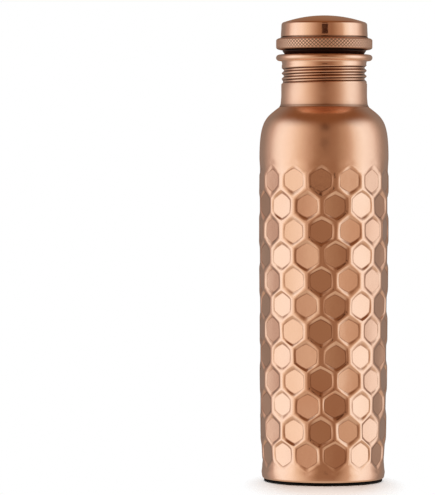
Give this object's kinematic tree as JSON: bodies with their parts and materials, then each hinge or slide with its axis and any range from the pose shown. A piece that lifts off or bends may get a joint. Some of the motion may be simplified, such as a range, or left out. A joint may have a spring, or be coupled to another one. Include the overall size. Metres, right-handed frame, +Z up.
{
  "type": "water bottle",
  "caption": "Beaten copper water bottle with a smooth shoulder, a threaded neck and a screw lid with a knurled collar.",
  "frame": {"origin": "centre of the underside, where the bottle rests", "axes": "+Z up along the bottle's axis, towards the lid; the front faces -Y"},
  "size_m": [0.0754, 0.0754, 0.2718],
  "materials": {
    "copper_beaten": "polished, hand beaten",
    "copper_neck": "satin neck with a polished thread and lip",
    "copper_spun": "satin, spun",
    "copper_polished": "polished, finely spun",
    "copper_knurled": "polished, diamond knurl",
    "silicone": "matt black foot",
    "silicone_seal": "satin black seal"
  },
  "bodies": {
    "bottle": {"foot_pad": "silicone", "base_disc": "copper_spun", "body_shell": "copper_beaten", "neck_mouth": "copper_neck"},
    "seal": {"seal_ring": "silicone_seal"},
    "lid": {"lid_threaded_plug": "copper_polished", "lid_knurled_collar": "copper_knurled", "lid_crown": "copper_polished"}
  },
  "joints": [
    {"name": "lid_rise", "type": "slide", "parent": "bottle", "child": "seal", "axis": [0, 0, 1], "range_m": [0, 0.0229]},
    {"name": "lid_turn", "type": "hinge", "parent": "seal", "child": "lid", "pos_m": [0, 0, 0.255], "axis": [0, 0, 1], "range_deg": [0, 2520]}
  ],
  "couplings": [
    {"joint": "lid_rise", "follows": "lid_turn", "m_per_rad": 0.00051725}
  ]
}
